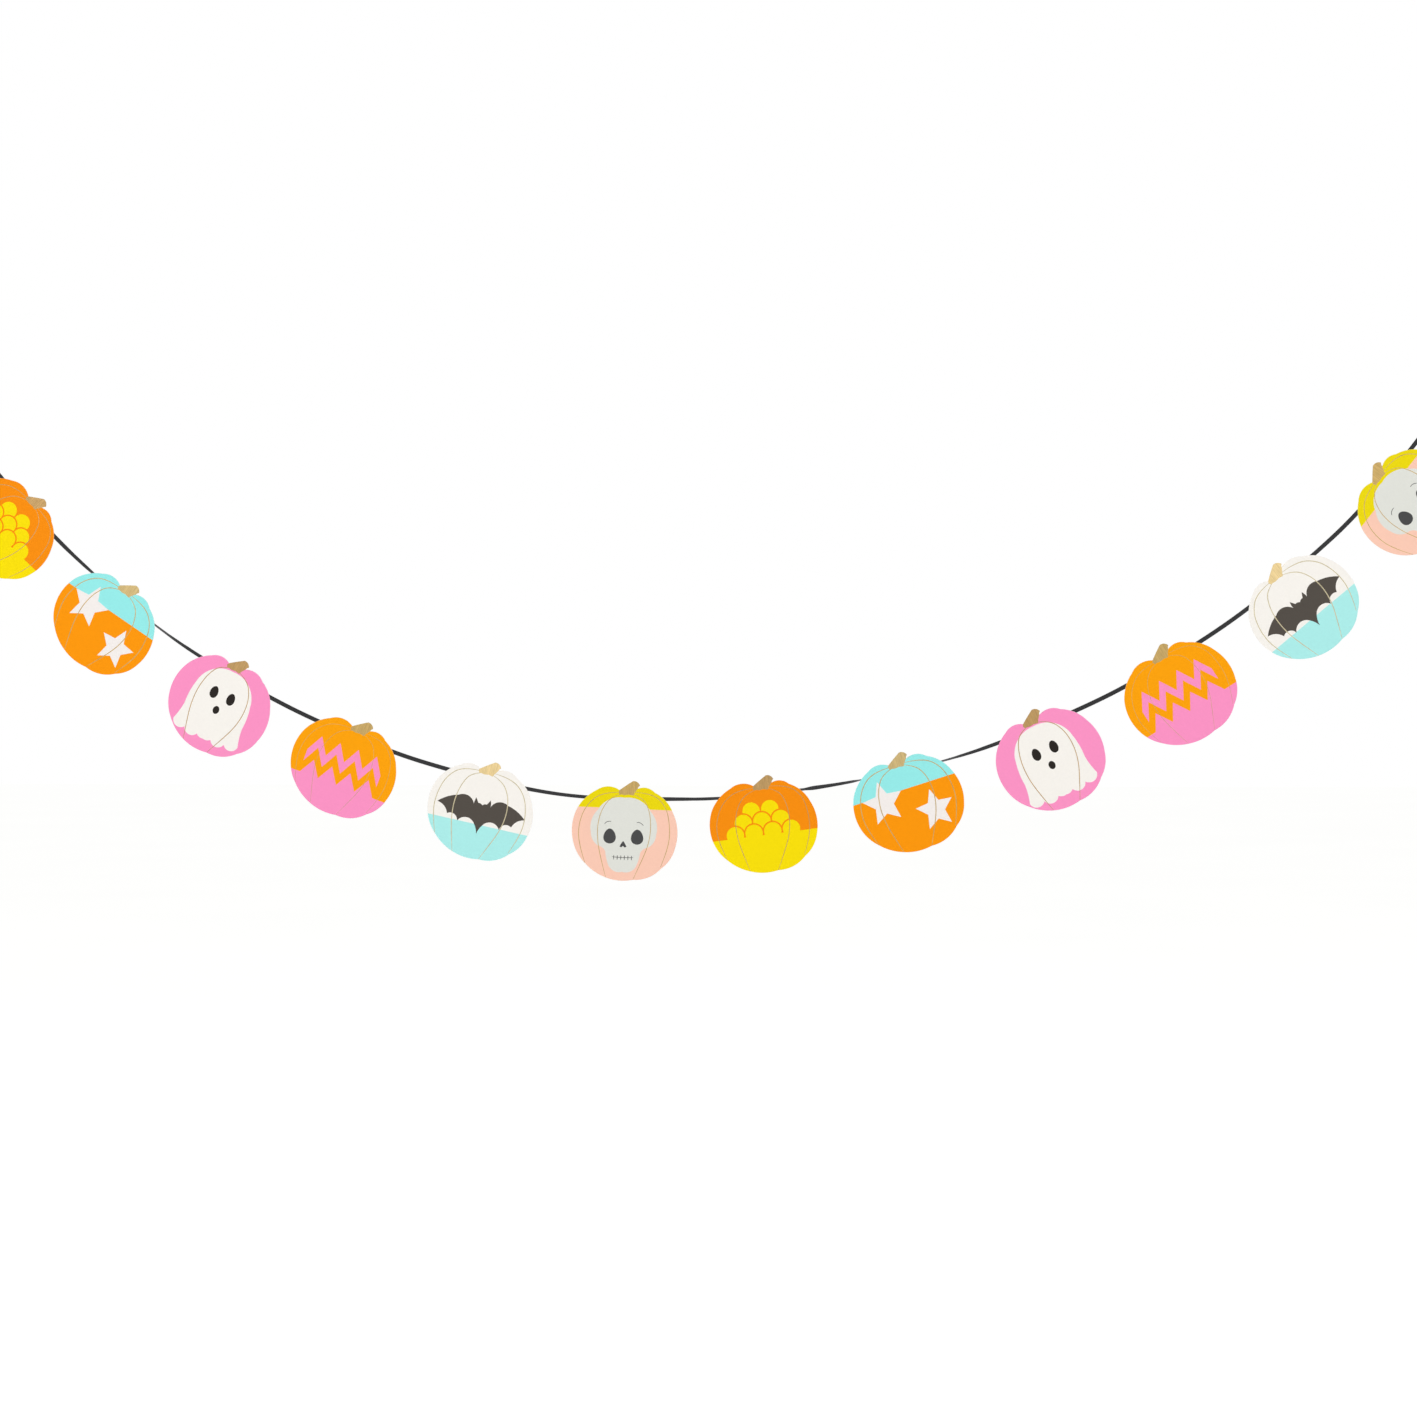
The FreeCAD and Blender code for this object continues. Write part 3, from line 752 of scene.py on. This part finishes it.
def triangulate(shapes, spare):
    # Cuts the card into triangles along every shape's edge: points, triangles and the shapes over each.
    points = list(spare)
    loops = []
    for shape in shapes:
        turnsLeft = sum(a.x * b.y - b.x * a.y for a, b in zip(shape, shape[1:] + shape[:1])) > 0
        loops.append(list(range(len(points), len(points) + len(shape))))
        points += shape if turnsLeft else shape[::-1]
    made, _, faces, _, _, covers = delaunay_2d_cdt(points, [], loops, 1, 1e-5)
    kept = [(face, cover) for face, cover in zip(faces, covers) if 0 in cover]
    used = sorted({i for face, _ in kept for i in face})
    order = {old: new for new, old in enumerate(used)}
    triangles = [[order[i] for i in face] for face, _ in kept]
    return [made[i] for i in used], triangles, [cover for _, cover in kept]


def cellOf(point):
    return round(point.x / net["cell"]), round(point.y / net["cell"])


def spreadPoints(shapes):
    # An even net of points that keeps clear of every drawn edge.
    edgePoints = {}
    for shape in shapes:
        for point in shape:
            edgePoints.setdefault(cellOf(point), []).append(point)
    found = []
    rows = int(net["span"] / net["spacing"])
    for i in range(-rows, rows):
        for j in range(-rows, rows):
            point = Vector(((i + 0.5 * (j % 2)) * net["spacing"], j * net["spacing"] * net["rowShare"]))
            column, row = cellOf(point)
            near = [q for a in (-1, 0, 1) for b in (-1, 0, 1) for q in edgePoints.get((column + a, row + b), [])]
            inside = abs(point.x) < net["halfWidth"] and abs(point.y) < net["halfHeight"]
            if inside and all((point - q).length > net["clear"] for q in near):
                found.append(point)
    return found


def rimOf(points, triangles):
    # The loop of vertices round a flat mesh, counter-clockwise, with the way out at each.
    edges = {}
    for a, b, c in triangles:
        for start, end in ((a, b), (b, c), (c, a)):
            edges[(start, end)] = True
    following = {start: end for start, end in edges if (end, start) not in edges}
    first = next(iter(following))
    rim = [first]
    while following[rim[-1]] != first:
        rim.append(following[rim[-1]])
    outward = []
    for i, vertex in enumerate(rim):
        along = points[rim[(i + 1) % len(rim)]] - points[rim[i - 1]]
        outward.append(Vector((along.y, -along.x)).normalized())
    return rim, outward


def turned(point, angle):
    return Vector((point.x * math.cos(angle) - point.y * math.sin(angle),
                   point.x * math.sin(angle) + point.y * math.cos(angle)))


def flatCard(design, die):
    # Returns the layout of one design: front and back nets with the ink of each front triangle.
    turn = math.radians(design["turn"])
    shapes, names = [pumpkinOutline(*die)], [design["ground"]]
    for ink, shape in design["prints"]:
        shapes.append([turned(point, turn) for point in shape])
        names.append(ink)
    ribFoil, ribWidth, ribCount = design["ribs"]
    for line in ribLines[:ribCount]:
        shapes.append(stroke(ribPoints(line, *die), ribWidth))
        names.append(ribFoil)
    shapes.append(stemPrint(*die))
    names.append(design["foil"])
    points, triangles, covers = triangulate(shapes, spreadPoints(shapes))
    inkNames = [names[max(cover)] for cover in covers]
    rim, outward = rimOf(points, triangles)
    border = [points[i] for i in rim]
    backPoints, backTriangles, _ = triangulate([border], spreadPoints([border]))
    backRim, _ = rimOf(backPoints, backTriangles)
    begin = min(range(len(backRim)), key=lambda k: (backPoints[backRim[k]] - border[0]).length)
    backRim = backRim[begin:] + backRim[:begin]
    return {"front": points, "triangles": triangles, "inks": inkNames, "rim": rim, "outward": outward,
            "back": backPoints, "backTriangles": backTriangles, "backRim": backRim}


layouts = {name: flatCard(design, dies[name]) for name, design in designs.items()}
print("layouts:", {name: len(layout["triangles"]) for name, layout in layouts.items()})

bendDraw = random.Random(5)


def cardBend(index):
    # Cards leave the stack a little bowed, each its own way: mm forward at the sides, back at the bottom, askew.
    return {"side": bendDraw.uniform(0.4, 1.1), "bottom": bendDraw.uniform(-1.4, 1.0),
            "askew": bendDraw.uniform(-1, 1), "from": ribbonHeight(index)}


def bentBy(bend, x, z):
    aside = x / cardShape["halfWidth"]
    below = max(0.0, bend["from"] - z) / cardShape["hang"]
    return -bend["side"] * aside ** 2 + bend["bottom"] * below ** 2 + bend["askew"] * aside * below


def placeOf(index):
    # The card's middle in metres and its angle, from its run of the ribbon.
    middle, along = runBehind(index)
    angle = math.atan2(along.y, along.x) + math.radians(skews[index])
    seat = middle + along * slips[index] * mm
    return seat + Vector((math.sin(angle), -math.cos(angle))) * ribbonHeight(index) * mm, angle


def makeCard(index, name, bend):
    layout = layouts[name]
    centre, angle = placeOf(index)
    frontDepth = -ribbon["thickness"] / 2 - cardShape["thickness"]
    backDepth = -ribbon["thickness"] / 2
    flat, depths = [], []
    outlineAt = [layout["front"][i] for i in layout["rim"]]
    front = list(layout["front"])
    for i, out in zip(layout["rim"], layout["outward"]):
        front[i] = front[i] - out * cardShape["frontRound"]
    back = list(layout["back"])
    for i, out in zip(layout["backRim"], layout["outward"]):
        back[i] = back[i] - out * cardShape["backRound"]
    for points, depth in ((front, frontDepth), (outlineAt, frontDepth + cardShape["frontRound"] * 0.8),
                          (outlineAt, backDepth - cardShape["backRound"]), (back, backDepth)):
        flat += points
        depths += [depth] * len(points)
    vertices = []
    for point, depth in zip(flat, depths):
        x, z = centre + turned(point, angle) * mm
        vertices.append((x, (depth + bentBy(bend, point.x, point.y)) * mm, z))
    count = len(outlineAt)
    ringStart = len(front)
    backStart = ringStart + 2 * count
    faces = [tuple(face) for face in layout["triangles"]]
    faces += [tuple(backStart + i for i in reversed(face)) for face in layout["backTriangles"]]
    sides = [layout["rim"], list(range(ringStart, ringStart + count)),
             list(range(ringStart + count, backStart)), [backStart + i for i in layout["backRim"]]]
    for near, far in zip(sides, sides[1:]):
        for i in range(count):
            k = (i + 1) % count
            faces.append((near[k], near[i], far[i], far[k]))
    mesh = bpy.data.meshes.new(f"card{index + 1:02d}{name.capitalize()}")
    mesh.from_pydata(vertices, [], faces)
    unwrapFlat(mesh, "flat", [point * mm for point in flat])
    used = sorted(set(layout["inks"]))
    for material in [boardBack, boardCore] + [inks[ink] for ink in used]:
        mesh.materials.append(material)
    slotOf = {ink: 2 + i for i, ink in enumerate(used)}
    slots = [slotOf[ink] for ink in layout["inks"]] + [0] * len(layout["backTriangles"]) + [1] * (3 * count)
    mesh.polygons.foreach_set("material_index", slots)
    mesh.shade_smooth()
    mesh.set_sharp_from_angle(angle=math.radians(sharpAngles["card"]))
    return makePiece(mesh.name, mesh, f"card_{index + 1:02d}_{name}")


tab = {
    "length": 34, "height": 16, "thickness": 0.2, "corner": 1.6,  # mm
    "foldOut": 4.1, "foldIn": 2.9,  # where the paper leaves the card and where it reaches the ribbon's back
    "across": [0, 1.3, 2.4, 2.9, 3.2, 3.5, 3.8, 4.1, 4.9, 6.0, 7.0, 7.6, 8.0],  # mm from the middle
    "ends": (0.3, 0.9), "steps": 12,  # mm from each end, and the steps between the corners
    "squeeze": 0.2,  # spacing left between rows that a rounded corner pushes in
    "ripple": {"height": 0.02, "along": 1.9, "across": 1.3},  # mm, and radians for each mm
}


def makeTab(index, bend):
    # Gummed paper pressed down on both sides of the ribbon, so it folds softly over its edges.
    middle, along = runBehind(index)
    up = Vector((-along.y, along.x))
    seat = middle + along * slips[index] / 2 * mm
    cardCentre, cardAngle = placeOf(index)
    acrossList = [-v for v in reversed(tab["across"][1:])] + tab["across"]
    half, corner, steps = tab["length"] / 2, tab["corner"], tab["steps"]
    halfHeight = tab["height"] / 2
    ripple = tab["ripple"]
    alongList = [-half] + [-half + inset for inset in tab["ends"]]
    alongList += [-half + corner + (2 * half - 2 * corner) * i / steps for i in range(steps + 1)]
    alongList += [half - inset for inset in reversed(tab["ends"])] + [half]
    vertices, flat, faces = [], [], []
    rows, columns = len(alongList), len(acrossList)
    for layer in (0, 1):
        for u in alongList:
            past = max(0.0, abs(u) - (half - corner))
            edge = halfHeight - corner + math.sqrt(max(0.0, corner ** 2 - past ** 2))
            for v in acrossList:
                if abs(v) > edge:
                    v = math.copysign(edge - (halfHeight - abs(v)) * tab["squeeze"], v)
                share = min(1.0, max(0.0, (tab["foldOut"] - abs(v)) / (tab["foldOut"] - tab["foldIn"])))
                height = ribbon["thickness"] * share * share * (3 - 2 * share)
                wave = math.sin(u * ripple["along"] + index) * math.sin(v * ripple["across"])
                height += ripple["height"] * wave * (1 - share)
                place = seat + (along * u + up * v) * mm
                cardX, cardZ = turned((place - cardCentre) / mm, -cardAngle)
                depth = -ribbon["thickness"] / 2 + height + bentBy(bend, cardX, cardZ) * (1 - share)
                vertices.append((place.x, (depth + layer * tab["thickness"]) * mm, place.y))
                flat.append((u * mm, v * mm))
    size = rows * columns
    for i in range(rows - 1):
        for j in range(columns - 1):
            a = i * columns + j
            quad = (a, a + 1, a + columns + 1, a + columns)
            faces.append(quad)
            faces.append(tuple(size + k for k in reversed(quad)))
    border = list(range(columns)) + [i * columns + columns - 1 for i in range(1, rows)]
    border += [(rows - 1) * columns + j for j in range(columns - 2, -1, -1)]
    border += [i * columns for i in range(rows - 2, 0, -1)]
    for a, b in zip(border, border[1:] + border[:1]):
        faces.append((a, a + size, b + size, b))
    mesh = bpy.data.meshes.new(f"tab{index + 1:02d}")
    mesh.from_pydata(vertices, [], faces)
    unwrapFlat(mesh, "flat", flat)
    mesh.materials.append(tabPaper)
    mesh.shade_smooth()
    mesh.set_sharp_from_angle(angle=math.radians(sharpAngles["tab"]))
    return makePiece(mesh.name, mesh, f"tab_{index + 1:02d}")


for index, name in enumerate(designOrder):
    bend = cardBend(index)
    makeCard(index, name, bend)
    makeTab(index, bend)
print("cards and tabs:", len(designOrder))

# Plain studio: a pale floor far below the garland, a white surround and broad soft lights.
studio = {
    "floorLevel": -1.35, "floorColour": "F2F2F0",
    "floorSides": (-30, 32), "floorEnds": (-30, 30),  # metres
    "lift": 0.46,  # the light that the floor adds where it is seen
    "surround": 0.6,  # strength of the soft light; what is seen of the surround is plain white
    "aim": (0.92, 0, -0.35),
}


def seenRays(tree):
    # 1 for what the camera sees, also in a mirror or through glass, and 0 for the soft light.
    path = addNode(tree, "ShaderNodeLightPath", {})
    seen = addNode(tree, "ShaderNodeMath", {
        0: path.outputs["Is Camera Ray"], 1: path.outputs["Is Glossy Ray"],
    }, operation="MAXIMUM").outputs[0]
    return addNode(tree, "ShaderNodeMath", {
        0: seen, 1: path.outputs["Is Transmission Ray"],
    }, operation="MAXIMUM").outputs[0]


def paleFloor():
    # Matt white floor: it takes the soft shadow, and a little light that only the eye and reflections see
    # lifts it to the white of the surround.
    material, tree = startMaterial("paleStudioFloor")
    place = addNode(tree, "ShaderNodeTexCoord", {}).outputs["Object"]
    patches = addNode(tree, "ShaderNodeTexNoise", {"Vector": place, "Scale": 0.8}).outputs[0]
    colour = addNode(tree, "ShaderNodeMix", {
        0: patches, 6: linearColour(studio["floorColour"], 0.98), 7: linearColour(studio["floorColour"], 1.02),
    }, data_type="RGBA").outputs[2]
    matt = addNode(tree, "ShaderNodeBsdfDiffuse", {"Color": colour}).outputs[0]
    lift = addNode(tree, "ShaderNodeMath", {
        0: seenRays(tree), 1: studio["lift"],
    }, operation="MULTIPLY").outputs[0]
    glow = addNode(tree, "ShaderNodeEmission", {"Strength": lift}).outputs[0]
    both = addNode(tree, "ShaderNodeAddShader", {0: matt, 1: glow}).outputs[0]
    addNode(tree, "ShaderNodeOutputMaterial", {"Surface": both})
    return material


floorMesh = bpy.data.meshes.new("floor")
(left, right), (near, far) = studio["floorSides"], studio["floorEnds"]
floorMesh.from_pydata([(left, near, 0), (right, near, 0), (right, far, 0), (left, far, 0)], [], [(0, 1, 2, 3)])
floorMesh.materials.append(paleFloor())
floor = bpy.data.objects.new("floor", floorMesh)
floor.location.z = studio["floorLevel"]
scene.collection.objects.link(floor)

world = bpy.data.worlds.new("surround")
scene.world = world
world.use_nodes = True
world.node_tree.nodes.clear()
strength = addNode(world.node_tree, "ShaderNodeMapRange", {
    "Value": seenRays(world.node_tree), "To Min": studio["surround"], "To Max": 1.0,
}).outputs[0]
surround = addNode(world.node_tree, "ShaderNodeBackground", {"Color": (1, 1, 1, 1), "Strength": strength})
addNode(world.node_tree, "ShaderNodeOutputWorld", {"Surface": surround.outputs[0]})

lights = [
    {"name": "keyLight", "place": (-0.5, -2.4, 1.5), "size": 2.2, "power": 35},
    {"name": "fillLight", "place": (2.7, -2.2, 1.4), "size": 2.2, "power": 24},
    {"name": "backLight", "place": (0.9, 2.6, 1.4), "size": 2.4, "power": 22},
]
for row in lights:
    data = bpy.data.lights.new(row["name"], "AREA")
    data.shape = "DISK"
    data.size = row["size"]
    data.energy = row["power"]
    lamp = bpy.data.objects.new(row["name"], data)
    lamp.location = row["place"]
    aim = Vector(studio["aim"]) - lamp.location
    lamp.rotation_euler = aim.to_track_quat("-Z", "Y").to_euler()
    scene.collection.objects.link(lamp)

scene.view_settings.view_transform = "Standard"
print("studio:", len(lights), "lights")
